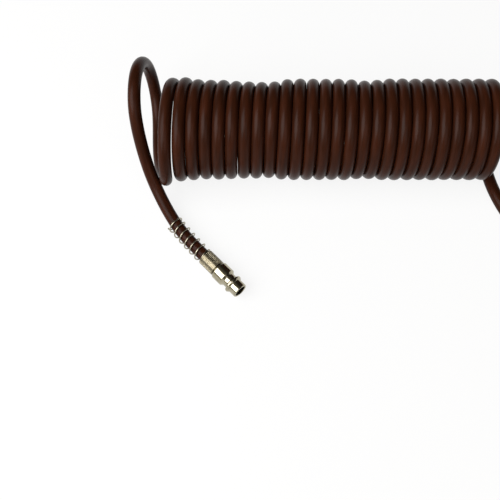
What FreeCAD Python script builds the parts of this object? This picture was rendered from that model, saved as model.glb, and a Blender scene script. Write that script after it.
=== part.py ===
import FreeCAD, Part

"""Coiled (recoil) air hose with a plug at one end and a quick coupler at the other.

Frame: millimetres, +Z up, the table is Z = 0 and the origin is the middle of the footprint.
The coil lies along X. Its plug end comes forward (-Y) on the left, its coupler end on the right.
Both fittings are turned parts. Each has its own axis, +X towards its mouth, with station 0 at
the end of its hose barb, and a placement puts it where it lies.
"""

import math
import os

import Sketcher

DOC = FreeCAD.newDocument("coiled_air_hose")

# ---------------------------------------------------------------- driving dimensions

DIMENSIONS = [
    # hose and coil
    ("hose_od", 8.0, "outside diameter of the tube"),
    ("hose_bore", 5.0, "inside diameter of the tube"),
    ("coil_od", 64.0, "outside diameter of the closed coil"),
    ("coil_len", 211.9, "length of the closed coil's full turns"),
    ("coil_left", -184.2, "X of the coil's left end"),
    ("coil_depth", 26.4, "Y of the coil's axis"),
    # hose end, the same at both fittings
    ("barb_len", 10.0, "length of the barb in the hose"),
    ("barb_root", 2.35, "radius of the barb between its ridges"),
    ("barb_crest", 2.75, "radius of a ridge, which bites into the hose"),
    ("ridge_step", 2.6, "distance from ridge to ridge"),
    ("air_rad", 1.6, "radius of the air way through the barb"),
    ("stub_len", 7.3, "length of the threaded stub"),
    ("stub_rad", 4.5, "radius of the threaded stub"),
    ("neck_len", 0.6, "gap between nut and shoulder"),
    ("neck_rad", 4.0, "radius in that gap"),
    ("nut_len", 11.6, "length of the hose nut"),
    ("nut_rad", 5.35, "radius of the hose nut"),
    ("nut_wall_gap", 0.05, "play of the nut on thread and hose"),
    ("cone_len", 0.8, "length of the nut's clamping cone"),
    ("cup_len", 2.7, "depth of the cup that holds the spring"),
    ("cup_rad", 5.0, "radius of that cup"),
    ("edge", 0.4, "small chamfer"),
    # bend spring
    ("bend_wire", 0.9, "wire of the bend spring"),
    ("bend_tight_rad", 4.45, "mean radius of the turns held in the nut"),
    ("bend_free_rad", 5.3, "mean radius of the free turns"),
    ("bend_pitch", 5.08, "pitch of the open turns"),
    ("bend_turns", 5.4, "open turns"),
    ("held_turns", 1.5, "closed turns held in the nut"),
    ("flare_len", 1.5, "length over which the spring widens outside the nut"),
    ("end_turn_len", 1.9, "length of the closed turn at the spring's free end"),
    # plug
    ("shoulder_len", 9.0, "length of the plug's shoulder"),
    ("shoulder_rad", 6.1, "radius of the plug's shoulder"),
    ("waist_len", 3.3, "length of the waist that the balls lock in"),
    ("waist_rad", 4.65, "radius of that waist"),
    ("collar_len", 2.4, "length of the locking collar"),
    ("collar_rad", 6.2, "radius of the locking collar"),
    ("tip_len", 5.5, "length of the sealing tip"),
    ("tip_rad", 5.0, "radius of the sealing tip"),
    ("tip_bore", 3.9, "radius of the bore in the tip"),
    ("tip_bore_len", 16.0, "depth of that bore"),
    ("plug_x", -129.97, "X of the centre of the tip's face"),
    ("plug_y", -74.14, "Y of the centre of the tip's face"),
    ("plug_z", 6.2, "height of the plug's axis"),
    ("plug_turn", -45.62, "direction of the plug's axis in the plan, in degrees"),
    # coupler
    ("hex_len", 6.3, "length of the tailpiece's hexagon"),
    ("hex_corner", 9.8, "corner radius of the hexagon"),
    ("thread_len", 6.8, "length of the tailpiece's thread"),
    ("thread_rad", 8.0, "radius of the tailpiece's thread"),
    ("seat_rad", 6.0, "radius of the valve spring's pocket"),
    ("seat_depth", 5.0, "depth of that pocket"),
    ("duct_rad", 3.2, "radius of the air way behind the pocket"),
    ("washer_len", 1.0, "thickness of the sealing washer"),
    ("washer_rad", 9.6, "outside radius of the sealing washer"),
    ("body_len", 33.0, "length of the coupler's body"),
    ("body_rad", 8.6, "radius of the body under the sleeve"),
    ("flange_len", 8.4, "length of the body's rear flange"),
    ("flange_rad", 10.5, "radius of that flange"),
    ("thread_bore_len", 6.0, "depth of the body's rear thread"),
    ("chamber_rad", 6.6, "radius of the valve chamber"),
    ("seat_front", 16.0, "depth of the valve seat's front below the mouth"),
    ("seat_back", 17.2, "depth of the valve seat's back below the mouth"),
    ("seat_hole", 4.6, "radius of the hole in the valve seat"),
    ("tip_way", 5.1, "radius of the bore for a plug's tip"),
    ("groove_back", 12.8, "depth of the plug seal groove's back"),
    ("groove_front", 10.9, "depth of the plug seal groove's front"),
    ("socket_len", 10.5, "depth of the socket's wide bore"),
    ("socket_rad", 6.35, "radius of the socket's wide bore"),
    ("ring_back", 2.2, "depth of the stop ring's back"),
    ("ring_front", 1.2, "depth of the stop ring's front"),
    ("ring_groove", 7.9, "radius of the stop ring's groove"),
    ("ring_rad", 9.82, "outside radius of the stop ring"),
    ("coupler_x", 141.3, "X of station 0 of the coupler"),
    ("coupler_y", -61.6, "Y of the coupler's axis"),
    ("coupler_z", 12.0, "height of the coupler's axis"),
    # locking balls
    ("ball_rad", 1.75, "radius of a locking ball"),
    ("ball_depth", 6.2, "depth of the balls below the mouth"),
    ("ball_circle", 7.1, "radius of the circle of ball centres when locked"),
    ("ball_play", 0.05, "play of a ball in its hole and under the ramp"),
    ("ball_lip", 1.63, "radius of the lip that keeps a ball in"),
    # release sleeve
    ("sleeve_front", 0.5, "depth of the sleeve's front below the mouth"),
    ("sleeve_back", 26.8, "depth of the sleeve's back below the mouth"),
    ("sleeve_rad", 12.0, "outside radius of the sleeve"),
    ("sleeve_mouth", 10.05, "radius of the sleeve's front opening"),
    ("ramp_front", 1.71, "depth where the ball ramp begins"),
    ("ramp_back", 7.44, "depth where the ball ramp ends"),
    ("land_rad", 8.65, "radius of the sleeve's running land"),
    ("land_back", 10.5, "depth where that land ends"),
    ("spring_room", 10.55, "radius of the sleeve's spring chamber"),
    ("sleeve_wire", 1.0, "wire of the sleeve spring"),
    ("sleeve_coil", 9.55, "mean radius of the sleeve spring"),
    ("sleeve_turns", 5.0, "turns of the sleeve spring"),
    # valve
    ("nose_front", 13.2, "depth of the valve's nose below the mouth"),
    ("nose_rad", 4.3, "radius of the nose"),
    ("nose_bore", 3.0, "radius of the nose's bore"),
    ("nose_bore_len", 3.8, "depth of the nose's bore"),
    ("port_rad", 1.2, "radius of the side ports"),
    ("port_depth", 15.4, "depth of the side ports below the mouth"),
    ("head_front", 18.7, "depth of the head's front below the mouth"),
    ("head_len", 2.0, "thickness of the head"),
    ("head_rad", 6.2, "radius of the head"),
    ("boss_len", 1.7, "length of the boss that centres the spring"),
    ("boss_rad", 4.2, "radius of that boss"),
    ("stem_len", 2.0, "length of the stem behind the boss"),
    ("stem_rad", 2.4, "radius of the stem"),
    ("valve_wire", 0.8, "wire of the valve spring"),
    ("valve_coil", 4.7, "mean radius of the valve spring"),
    ("valve_turns", 5.0, "turns of the valve spring"),
    # soft seals, as mean radius and section radius
    ("tip_seal_mean", 5.72, "mean radius of the plug seal"),
    ("tip_seal_cord", 0.87, "section radius of the plug seal"),
    ("head_seal_mean", 5.1, "mean radius of the valve seal"),
    ("head_seal_cord", 0.71, "section radius of the valve seal"),
]
BALLS = 6
RIDGES = 3

# The hose's free stretches, as route points from fitting to coil, in the part's frame.
PLUG_TAIL = [
    (-149.6, -54.1, 6.2),
    (-156.6, -46.9, 6.2),
    (-164.2, -38.8, 6.2),
    (-171.0, -30.3, 6.3),
    (-176.6, -21.5, 7.0),
    (-181.2, -13.3, 8.3),
    (-185.4, -5.1, 11.4),
    (-188.9, 2.2, 17.0),
    (-191.3, 8.3, 24.4),
    (-193.3, 14.8, 33.8),
    (-194.7, 21.8, 44.9),
    (-195.4, 29.4, 53.4),
    (-195.5, 39.7, 58.0),
    (-195.3, 51.1, 58.0),
    (-194.7, 61.4, 53.4),
    (-193.8, 69.8, 44.9),
    (-192.7, 73.7, 34.2),
    (-191.5, 72.5, 22.9),
    (-190.2, 66.6, 13.0),
    (-188.8, 56.5, 6.4),
    (-187.3, 45.4, 4.0),
    (-185.7, 34.2, 4.1),
    (-183.7, 23.4, 4.0),
]
COUPLER_TAIL = [
    (151.3, -61.6, 12.0),
    (142.4, -61.6, 12.0),
    (130.5, -61.6, 11.8),
    (118.5, -61.7, 10.8),
    (106.0, -61.9, 8.8),
    (93.6, -61.0, 6.6),
    (81.6, -58.0, 5.0),
    (70.4, -52.4, 4.2),
    (60.6, -44.6, 4.0),
    (52.2, -35.2, 4.0),
    (45.2, -24.6, 4.0),
    (39.6, -13.2, 4.0),
    (35.4, -1.2, 4.0),
    (32.8, 11.2, 4.0),
    (31.9, 23.4, 4.0),
]


# How far the bend springs stand off their fittings' axes, sideways and up: in the middle by the
# first pair and at the free end by the second.
PLUG_SPRING_HANG = ((0.1, -0.28), (1.58, -0.18))
COUPLER_SPRING_HANG = ((0.0, -0.1), (-0.1, -2.0))


# ---------------------------------------------------------------- the sheet and its quantities


def fill_sheet():
    """Writes the driving dimensions into the sheet, one row each, with their names as aliases."""
    sheet = DOC.addObject("Spreadsheet::Sheet", "Dims")
    for row, (name, number, note) in enumerate(DIMENSIONS, start=1):
        sheet.set(f"A{row}", name)
        sheet.set(f"B{row}", str(number))
        sheet.set(f"C{row}", note)
        sheet.setAlias(f"B{row}", name)
    DOC.recompute()
    return sheet


class Size:
    """A length with the expression that ties it to the sheet."""

    def __init__(self, number, text):
        self.number = number
        self.text = text

    @staticmethod
    def of(other):
        return other if isinstance(other, Size) else Size(float(other), repr(float(other)))

    def join(self, other, sign, number):
        return Size(number, f"({self.text} {sign} {Size.of(other).text})")

    def __add__(self, other):
        return self.join(other, "+", self.number + Size.of(other).number)

    def __sub__(self, other):
        return self.join(other, "-", self.number - Size.of(other).number)

    def __mul__(self, other):
        return self.join(other, "*", self.number * Size.of(other).number)

    def __truediv__(self, other):
        return self.join(other, "/", self.number / Size.of(other).number)


SHEET = fill_sheet()


def dim(name):
    """The sheet's dimension of that name."""
    return Size(float(SHEET.get(name)), f"Dims.{name}")


# ---------------------------------------------------------------- ways of making a piece


def turned(label, outline):
    """A turned piece: a closed outline of (station, radius) pairs, revolved about the X axis."""
    body = DOC.addObject("PartDesign::Body", label)
    body.Label = label
    plane = next(f for f in body.Origin.OriginFeatures if f.Role == "XY_Plane")
    sketch = body.newObject("Sketcher::SketchObject", f"{label}_outline")
    sketch.AttachmentSupport = [(plane, "")]
    sketch.MapMode = "FlatFace"
    corners = [(Size.of(x), Size.of(y)) for x, y in outline]
    points = [FreeCAD.Vector(x.number, y.number, 0) for x, y in corners]
    for start, end in zip(points, points[1:] + points[:1]):
        sketch.addGeometry(Part.LineSegment(start, end), False)
    for line in range(len(points)):
        follower = (line + 1) % len(points)
        sketch.addConstraint(Sketcher.Constraint("Coincident", line, 2, follower, 1))
    for line, corner in enumerate(corners):
        pin_corner(sketch, line, corner)
    turn = body.newObject("PartDesign::Revolution", f"{label}_turn")
    turn.Profile = sketch
    turn.ReferenceAxis = (sketch, ["H_Axis"])
    turn.Angle = 360
    body.Tip = turn
    return body


def pin_corner(sketch, line, corner):
    """Ties the start of a line to its station and radius."""
    for kind, axis, size in zip(("DistanceX", "DistanceY"), (-2, -1), corner):
        if size.number == 0.0:
            sketch.addConstraint(Sketcher.Constraint("PointOnObject", line, 1, axis))
            continue
        row = sketch.addConstraint(Sketcher.Constraint(kind, -1, 1, line, 1, size.number))
        sketch.setExpression(f"Constraints[{row}]", size.text)


def ring(label, station, mean, cord):
    """A round seal whose axis is X, at a station."""
    seal = DOC.addObject("Part::Torus", label)
    seal.Label = label
    seal.setExpression("Radius1", mean.text)
    seal.setExpression("Radius2", cord.text)
    seal.Placement = FreeCAD.Placement(vector(station.number, 0, 0), across())
    return seal


def wound(label, wire, start, stages, hang=lambda station: (0.0, 0.0)):
    """A wire wound about the X axis: stages of (turns, advance, mean radius) from a station.

    hang gives how far the winding stands off the axis at a station, sideways and up.
    """
    steps = 14
    station, angle, radius = start, 0.0, stages[0][2]
    points = [vector(station, radius, 0)]
    for turns, advance, target in stages:
        count = max(2, round(turns * steps))
        begin = radius
        for step in range(1, count + 1):
            share = step / count
            radius = begin + (target - begin) * share
            turn = 2 * math.pi * (angle + turns * share)
            here = station + advance * share
            side, up = hang(here)
            across_axis = (radius * math.cos(turn) + side, up - radius * math.sin(turn))
            points.append(vector(here, *across_axis))
        angle += turns
        station += advance
    curve = Part.BSplineCurve()
    curve.interpolate(points)
    path = Part.Wire([curve.toShape()])
    heading = curve.tangent(curve.FirstParameter)[0]
    section = Part.Wire([Part.makeCircle(wire / 2, points[0], heading)])
    piece = DOC.addObject("Part::Feature", label)
    piece.Label = label
    piece.Shape = path.makePipeShell([section], True, True)
    return piece


def spring(label, start, length, mean, wire, turns):
    """A compression spring from a station, its wire inside the length, its end turns closed."""
    closed = 0.9
    advance = wire.number * 1.05 * closed
    middle = length.number - wire.number - 2 * advance
    radius = mean.number
    stages = [
        (closed, advance, radius),
        (turns.number - 2 * closed, middle, radius),
        (closed, advance, radius),
    ]
    return wound(label, wire.number, (start + wire / 2).number, stages)


def cylinder(label, radius, length, place):
    """A plain cylinder along its own Z."""
    piece = DOC.addObject("Part::Cylinder", label)
    piece.setExpression("Radius", radius.text)
    piece.setExpression("Height", length.text)
    piece.Placement = place
    return piece


def cut(label, base, tools):
    """One piece less one other, or less several."""
    tool = tools[0]
    if len(tools) > 1:
        tool = DOC.addObject("Part::MultiFuse", f"{label}_tools")
        tool.Shapes = tools
    result = DOC.addObject("Part::Cut", f"{label}_cut")
    result.Label = label
    result.Base = base
    result.Tool = tool
    return result


def vector(x, y, z):
    return FreeCAD.Vector(x, y, z)


def across():
    """Turns a piece made along Z so that it lies along X."""
    return FreeCAD.Rotation(vector(0, 1, 0), 90)


def radial(station, angle, reach):
    """A place at a station and a reach from the axis, with Z pointing outwards at an angle."""
    swing = FreeCAD.Placement(vector(0, 0, 0), FreeCAD.Rotation(vector(1, 0, 0), angle))
    return swing.multiply(FreeCAD.Placement(vector(station, 0, reach), FreeCAD.Rotation()))


# ---------------------------------------------------------------- the hose end of a fitting


def barb_outline():
    """The outside of barb, stub and neck, from station 0 to the fitting's shoulder."""
    points = [(0.0, dim("barb_root") - 0.15)]
    for ridge in range(RIDGES):
        crest = dim("ridge_step") * (ridge + 1)
        points += [(crest, dim("barb_crest")), (crest + 0.01, dim("barb_root"))]
    stub = dim("barb_len") + dim("stub_len")
    points += [
        (dim("barb_len"), dim("barb_root")),
        (dim("barb_len"), dim("stub_rad")),
        (stub, dim("stub_rad")),
        (stub, dim("neck_rad")),
        (stub + dim("neck_len"), dim("neck_rad")),
    ]
    return points


def shoulder_station():
    """Where the neck ends and the fitting's own shape begins."""
    return dim("barb_len") + dim("stub_len") + dim("neck_len")


def hose_nut(label):
    """The knurled nut: thread, clamping cone, way for the hose and cup for the spring."""
    front = dim("barb_len") + dim("stub_len")
    rear = front - dim("nut_len")
    play = dim("nut_wall_gap")
    cone = dim("barb_len") - 0.1
    hose = dim("hose_od") / 2 + play
    edge = dim("edge")
    return turned(
        label,
        [
            (rear, dim("cup_rad")),
            (rear, dim("nut_rad") - 0.15),
            (rear + 0.15, dim("nut_rad")),
            (front - edge, dim("nut_rad")),
            (front, dim("nut_rad") - edge),
            (front, dim("stub_rad") + play),
            (cone, dim("stub_rad") + play),
            (cone - dim("cone_len"), hose),
            (rear + dim("cup_len"), hose),
            (rear + dim("cup_len"), dim("cup_rad")),
        ],
    )


def bend_spring(label, bow, drop):
    """The spring that keeps the hose from kinking: held turns, a flare, open turns, an end turn.

    The wire leaves the nut's cup in a quarter of a turn and widens over about a third of one.
    It hangs on the hose: bow and drop say how far its middle and its free end stand off the axis.
    """
    wire = dim("bend_wire").number
    tight = dim("bend_tight_rad").number
    free = dim("bend_free_rad").number
    turns = dim("bend_turns").number
    rear = (dim("barb_len") + dim("stub_len") - dim("nut_len")).number
    start = rear + dim("cup_len").number - wire / 2 - 0.01
    held_turns = dim("held_turns").number
    held = held_turns * wire * 1.04
    leave = start - held - rear + wire / 2
    flare, end = dim("flare_len").number, dim("end_turn_len").number
    open_length = dim("bend_pitch").number * turns
    stages = [
        (held_turns, -held, tight),
        (0.25, -leave, tight + 0.05),
        (0.35, -flare, free),
        (turns, -open_length, free),
        (1.0, -end, free),
    ]

    def hang(station):
        out = max(0.0, rear - station) / (flare + open_length + end)
        return tuple(4 * b * out * (1 - out) + d * out**2 for b, d in zip(bow, drop))

    return wound(label, wire, start, stages, hang)


# ---------------------------------------------------------------- the plug's own piece


def plug_nipple():
    """The plug: barb and stub, shoulder, waist, locking collar and sealing tip, bored through."""
    base = shoulder_station()
    edge = dim("edge")
    shoulder = base + dim("shoulder_len")
    waist = shoulder + dim("waist_len")
    collar = waist + dim("collar_len")
    face = collar + dim("tip_len")
    collar_rad = dim("collar_rad")
    bore_end = face - dim("tip_bore_len")
    return turned(
        "plug_nipple",
        barb_outline()
        + [
            (base, dim("shoulder_rad") - 0.7),
            (base + 0.7, dim("shoulder_rad")),
            (shoulder - 1.2, dim("shoulder_rad")),
            (shoulder, dim("waist_rad") + 0.35),
            (shoulder + 0.35, dim("waist_rad")),
            (waist - 0.35, dim("waist_rad")),
            (waist + 0.1, collar_rad - 0.9),
            (waist + 0.45, collar_rad - 0.25),
            (waist + 0.9, collar_rad),
            (collar - 0.9, collar_rad),
            (collar - 0.4, collar_rad - 0.3),
            (collar, dim("tip_rad")),
            (face - edge, dim("tip_rad")),
            (face, dim("tip_rad") - edge),
            (face, dim("tip_bore") + 0.25),
            (face - 0.25, dim("tip_bore")),
            (bore_end, dim("tip_bore")),
            (bore_end - 2.0, dim("air_rad")),
            (0.0, dim("air_rad")),
        ],
    )


# ---------------------------------------------------------------- the coupler's own pieces


def mouth():
    """The station of the coupler's mouth."""
    return shoulder_station() + dim("hex_len") + dim("washer_len") + dim("body_len")


def depth(name):
    """The station at a depth below the coupler's mouth."""
    return mouth() - dim(name)


def tailpiece():
    """The coupler's rear piece: barb, stub, hexagon, thread and the valve spring's pocket."""
    base = shoulder_station()
    thread = base + dim("hex_len")
    front = thread + dim("thread_len")
    pocket = front - dim("seat_depth")
    turn = turned(
        "tailpiece_turned",
        barb_outline()
        + [
            (base, dim("thread_rad") - 0.4),
            (base + 0.4, dim("thread_rad")),
            (front - 0.5, dim("thread_rad")),
            (front, dim("thread_rad") - 0.5),
            (front, dim("seat_rad")),
            (pocket, dim("seat_rad")),
            (pocket, dim("duct_rad")),
            (shoulder_station(), dim("duct_rad")),
            (shoulder_station() - 3.0, dim("air_rad")),
            (0.0, dim("air_rad")),
        ],
    )
    hexagon = DOC.addObject("Part::Prism", "hexagon")
    hexagon.Polygon = 6
    hexagon.setExpression("Circumradius", dim("hex_corner").text)
    hexagon.setExpression("Height", dim("hex_len").text)
    hexagon.Placement = FreeCAD.Placement(vector(base.number, 0, 0), across())
    core = cylinder(
        "hexagon_core",
        dim("thread_rad") - 1,
        dim("hex_len"),
        FreeCAD.Placement(vector(base.number, 0, 0), across()),
    )
    shell = cut("hexagon_ring", hexagon, [core])
    piece = DOC.addObject("Part::Fuse", "tailpiece_whole")
    piece.Label = "coupler_tailpiece"
    piece.Base = turn
    piece.Tool = shell
    return piece


def sealing_washer():
    """The flat washer between the tailpiece's hexagon and the body."""
    rear = shoulder_station() + dim("hex_len")
    front = rear + dim("washer_len")
    inner = dim("thread_rad") + dim("nut_wall_gap")
    return turned(
        "body_washer",
        [(rear, inner), (rear, dim("washer_rad")), (front, dim("washer_rad")), (front, inner)],
    )


def coupler_body():
    """The body: rear thread, valve chamber and seat, seal groove, socket, ball holes, grooves."""
    rear = mouth() - dim("body_len")
    flange = rear + dim("flange_len")
    edge = dim("edge")
    thread = dim("thread_rad") + dim("nut_wall_gap")
    turn = turned(
        "coupler_body_turned",
        [
            (rear, thread),
            (rear, dim("flange_rad") - edge),
            (rear + edge, dim("flange_rad")),
            (flange, dim("flange_rad")),
            (flange, dim("body_rad")),
            (depth("ring_back"), dim("body_rad")),
            (depth("ring_back"), dim("ring_groove")),
            (depth("ring_front"), dim("ring_groove")),
            (depth("ring_front"), dim("body_rad")),
            (mouth() - 0.6, dim("body_rad")),
            (mouth(), dim("body_rad") - 0.6),
            (mouth(), dim("socket_rad") + edge),
            (mouth() - edge, dim("socket_rad")),
            (depth("socket_len"), dim("socket_rad")),
            (depth("socket_len"), dim("tip_way")),
            (depth("groove_front"), dim("tip_way")),
            (depth("groove_front"), dim("chamber_rad")),
            (depth("groove_back"), dim("chamber_rad")),
            (depth("groove_back"), dim("tip_way")),
            (depth("seat_front"), dim("tip_way")),
            (depth("seat_front"), dim("seat_hole")),
            (depth("seat_back"), dim("seat_hole")),
            (depth("seat_back"), dim("chamber_rad")),
            (rear + dim("thread_bore_len"), dim("chamber_rad")),
            (rear + dim("thread_bore_len"), thread),
        ],
    )
    holes = []
    for number in range(BALLS):
        holes += ball_hole(number)
    return cut("coupler_body", turn, holes)


def ball_angle(number):
    """The direction of a ball about the coupler's axis, from straight up."""
    return 360.0 / BALLS * (number + 0.5)


def ball_hole(number):
    """A ball's hole: a bore from outside, then a lip that narrows so the ball can't fall in."""
    station = depth("ball_depth").number
    waist = dim("ball_circle") - 0.1
    lip_reach = dim("socket_rad") - 0.4
    bore = dim("ball_rad") + dim("ball_play")
    angle = ball_angle(number)
    straight = cylinder(
        f"ball_bore_{number + 1}",
        bore,
        dim("body_rad") - waist + 1,
        radial(station, angle, waist.number),
    )
    lip = DOC.addObject("Part::Cone", f"ball_lip_{number + 1}")
    lip.setExpression("Radius1", (dim("ball_lip") - 0.1).text)
    lip.setExpression("Radius2", bore.text)
    lip.setExpression("Height", (waist - lip_reach).text)
    lip.Placement = radial(station, angle, lip_reach.number)
    return [straight, lip]


def locking_ball(number):
    """One steel ball, in the locked position."""
    ball = DOC.addObject("Part::Sphere", f"locking_ball_{number + 1}")
    ball.Label = f"locking_ball_{number + 1}"
    ball.setExpression("Radius", dim("ball_rad").text)
    ball.Placement = radial(
        depth("ball_depth").number, ball_angle(number), dim("ball_circle").number
    )
    return ball


def release_sleeve():
    """The sleeve: front opening, ball ramp, running land and spring chamber."""
    front, back = depth("sleeve_front"), depth("sleeve_back")
    edge = dim("edge") * 2
    return turned(
        "release_sleeve",
        [
            (back, dim("spring_room")),
            (back, dim("sleeve_rad") - edge),
            (back + edge, dim("sleeve_rad")),
            (front - edge, dim("sleeve_rad")),
            (front, dim("sleeve_rad") - edge),
            (front, dim("sleeve_mouth")),
            (depth("ramp_front"), dim("sleeve_mouth")),
            (depth("ramp_back"), dim("land_rad")),
            (depth("land_back"), dim("land_rad")),
            (depth("land_back"), dim("spring_room")),
        ],
    )


def stop_ring():
    """The split ring that stops the sleeve from coming off the front."""
    inner = dim("ring_groove") + dim("nut_wall_gap")
    whole = turned(
        "stop_ring_turned",
        [
            (depth("ring_back") + 0.02, inner),
            (depth("ring_back") + 0.02, dim("ring_rad") - 0.1),
            (depth("ring_back") + 0.12, dim("ring_rad")),
            (depth("ring_front") - 0.02, dim("ring_rad")),
            (depth("ring_front") - 0.02, inner),
        ],
    )
    gap = DOC.addObject("Part::Box", "stop_ring_gap")
    gap.Length = 3
    gap.Width = 2
    gap.setExpression("Height", (dim("ring_rad") + 1).text)
    gap.Placement = FreeCAD.Placement(
        vector(depth("ring_back").number - 1, -1, 0), FreeCAD.Rotation()
    )
    return cut("stop_ring", whole, [gap])


def valve_poppet():
    """The valve: hollow nose with side ports, head, spring boss and stem."""
    face = depth("nose_front")
    head = depth("head_front")
    back = head - dim("head_len")
    boss = back - dim("boss_len")
    stem = boss - dim("stem_len")
    turn = turned(
        "valve_poppet_turned",
        [
            (stem, 0.0),
            (stem, dim("stem_rad") - 0.4),
            (stem + 0.4, dim("stem_rad")),
            (boss, dim("stem_rad")),
            (boss, dim("boss_rad") - 0.3),
            (boss + 0.3, dim("boss_rad")),
            (back, dim("boss_rad")),
            (back, dim("head_rad")),
            (head, dim("head_rad")),
            (head, dim("nose_rad")),
            (face - 0.3, dim("nose_rad")),
            (face, dim("nose_rad") - 0.3),
            (face, dim("nose_bore")),
            (face - dim("nose_bore_len"), dim("nose_bore")),
            (face - dim("nose_bore_len"), 0.0),
        ],
    )
    span = dim("nose_rad") * 2 + 2
    ports = []
    for number in range(2):
        place = radial(depth("port_depth").number, 90.0 * number, -span.number / 2)
        ports.append(cylinder(f"valve_port_{number + 1}", dim("port_rad"), span, place))
    return cut("valve_poppet", turn, ports)


def sleeve_spring():
    """The spring that pushes the release sleeve forward."""
    start = mouth() - dim("body_len") + dim("flange_len") + 0.05
    return spring(
        "sleeve_spring",
        start,
        depth("land_back") - start - 0.05,
        dim("sleeve_coil"),
        dim("sleeve_wire"),
        dim("sleeve_turns"),
    )


def valve_spring():
    """The spring that pushes the valve shut."""
    pocket = shoulder_station() + dim("hex_len") + dim("thread_len") - dim("seat_depth")
    start = pocket + 0.05
    return spring(
        "valve_spring",
        start,
        depth("head_front") - dim("head_len") - start - 0.05,
        dim("valve_coil"),
        dim("valve_wire"),
        dim("valve_turns"),
    )


# ---------------------------------------------------------------- the hose


def hose_path(points):
    """Straight runs joined by tangent arcs, each arc as large as its two runs allow."""
    points = [vector(*p) for p in points]
    edges, start, radii = [], points[0], []
    for before, corner, after in zip(points, points[1:], points[2:]):
        back, ahead = before - corner, after - corner
        half = (math.pi - back.getAngle(ahead)) / 2
        reach = 0.45 * min(back.Length, ahead.Length)
        radius = reach / math.tan(half)
        radii.append(radius)
        enter = corner + vector(*back).normalize() * reach
        leave = corner + vector(*ahead).normalize() * reach
        inward = (vector(*back).normalize() + vector(*ahead).normalize()).normalize()
        middle = corner + inward * (radius / math.cos(half) - radius)
        edges.append(Part.LineSegment(start, enter).toShape())
        edges.append(Part.Arc(enter, middle, leave).toShape())
        start = leave
    edges.append(Part.LineSegment(start, points[-1]).toShape())
    return Part.Wire(edges), radii


def hose_tail(label, points):
    """A free stretch of the hose: a hollow tube along its route."""
    path, radii = hose_path(points)
    start = vector(*points[0])
    heading = vector(*points[1]) - start
    tubes = []
    for diameter in (dim("hose_od").number, dim("hose_bore").number):
        section = Part.Wire([Part.makeCircle(diameter / 2, start, heading)])
        tubes.append(path.makePipeShell([section], True, False))
    piece = DOC.addObject("Part::Feature", label)
    piece.Label = label
    piece.Shape = tubes[0].cut(tubes[1])
    wall = math.pi / 4 * (dim("hose_od").number ** 2 - dim("hose_bore").number ** 2)
    print(f"{label}: length {path.Length:.1f} mm, radii {[round(r, 1) for r in radii]}")
    print(f"{label}: volume {piece.Shape.Volume:.0f}, section x length {wall * path.Length:.0f}")
    return piece


def hose_coil():
    """The closed coil's outer shape: a thick-walled sleeve of the turns."""
    outer = dim("coil_od") / 2
    inner = outer - dim("hose_od")
    return turned(
        "hose_coil",
        [(0.0, inner), (0.0, outer), (dim("coil_len"), outer), (dim("coil_len"), inner)],
    )


# ---------------------------------------------------------------- assembly


def place(pieces, frame):
    """Puts pieces made in a fitting's own axis where the fitting lies."""
    for piece in pieces:
        piece.Placement = frame.multiply(piece.Placement)


def plug_frame():
    """The plug's axis in the part's frame."""
    face = shoulder_station() + dim("shoulder_len") + dim("waist_len")
    face = face + dim("collar_len") + dim("tip_len")
    turn = FreeCAD.Rotation(vector(0, 0, 1), dim("plug_turn").number)
    tip = vector(dim("plug_x").number, dim("plug_y").number, dim("plug_z").number)
    return FreeCAD.Placement(tip - turn.multVec(vector(face.number, 0, 0)), turn)


def coupler_frame():
    """The coupler's axis in the part's frame."""
    origin = vector(dim("coupler_x").number, dim("coupler_y").number, dim("coupler_z").number)
    return FreeCAD.Placement(origin, FreeCAD.Rotation())


def build():
    """Makes every piece, places it and returns them all."""
    plug = [plug_nipple(), hose_nut("plug_nut"), bend_spring("plug_bend_spring", *PLUG_SPRING_HANG)]
    coupler = [
        tailpiece(),
        hose_nut("coupler_nut"),
        bend_spring("coupler_bend_spring", *COUPLER_SPRING_HANG),
        sealing_washer(),
        coupler_body(),
        release_sleeve(),
        stop_ring(),
        sleeve_spring(),
        valve_poppet(),
        valve_spring(),
        ring(
            "plug_seal",
            (depth("groove_front") + depth("groove_back")) / 2,
            dim("tip_seal_mean"),
            dim("tip_seal_cord"),
        ),
        ring(
            "valve_seal",
            (depth("seat_back") + depth("head_front")) / 2,
            dim("head_seal_mean"),
            dim("head_seal_cord"),
        ),
    ]
    coupler += [locking_ball(number) for number in range(BALLS)]
    coil = hose_coil()
    DOC.recompute()
    place(plug, plug_frame())
    place(coupler, coupler_frame())
    centre = vector(dim("coil_left").number, dim("coil_depth").number, dim("coil_od").number / 2)
    coil.Placement = FreeCAD.Placement(centre, FreeCAD.Rotation())
    hose = [hose_tail("hose_tail_plug", PLUG_TAIL), coil]
    hose.append(hose_tail("hose_tail_coupler", COUPLER_TAIL))
    DOC.recompute()
    return plug + coupler + hose


def check(pieces):
    """Stops if any object failed or any piece isn't one sound solid."""
    failed = [o.Label for o in DOC.Objects if {"Invalid", "Error"} & set(o.State)]
    if failed:
        raise RuntimeError(f"failed objects: {failed}")
    for piece in pieces:
        shape = piece.Shape
        if shape.isNull() or not shape.isValid() or len(shape.Solids) != 1:
            raise RuntimeError(f"{piece.Label} isn't one valid solid")


def write(pieces):
    """Writes each piece to its own file, named by its label."""
    os.makedirs("parts", exist_ok=True)
    for piece in pieces:
        piece.Shape.exportStep(f"parts/{piece.Label}.step")
        print(f"{piece.Label}: volume {piece.Shape.Volume:.1f} cubic millimetres")


PIECES = build()
check(PIECES)
write(PIECES)
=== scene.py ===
"""A coiled air hose: glossy tube in a closed coil, with a plug and a quick coupler at its ends.

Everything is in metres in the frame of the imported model: +Z is up, the hose lies on Z = 0 and
its coil runs along X. A fitting's own sizes are in millimetres, as stations along its axis and
radii from it. Station 0 is the end of its hose barb and the stations rise towards its mouth.
"""

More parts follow.
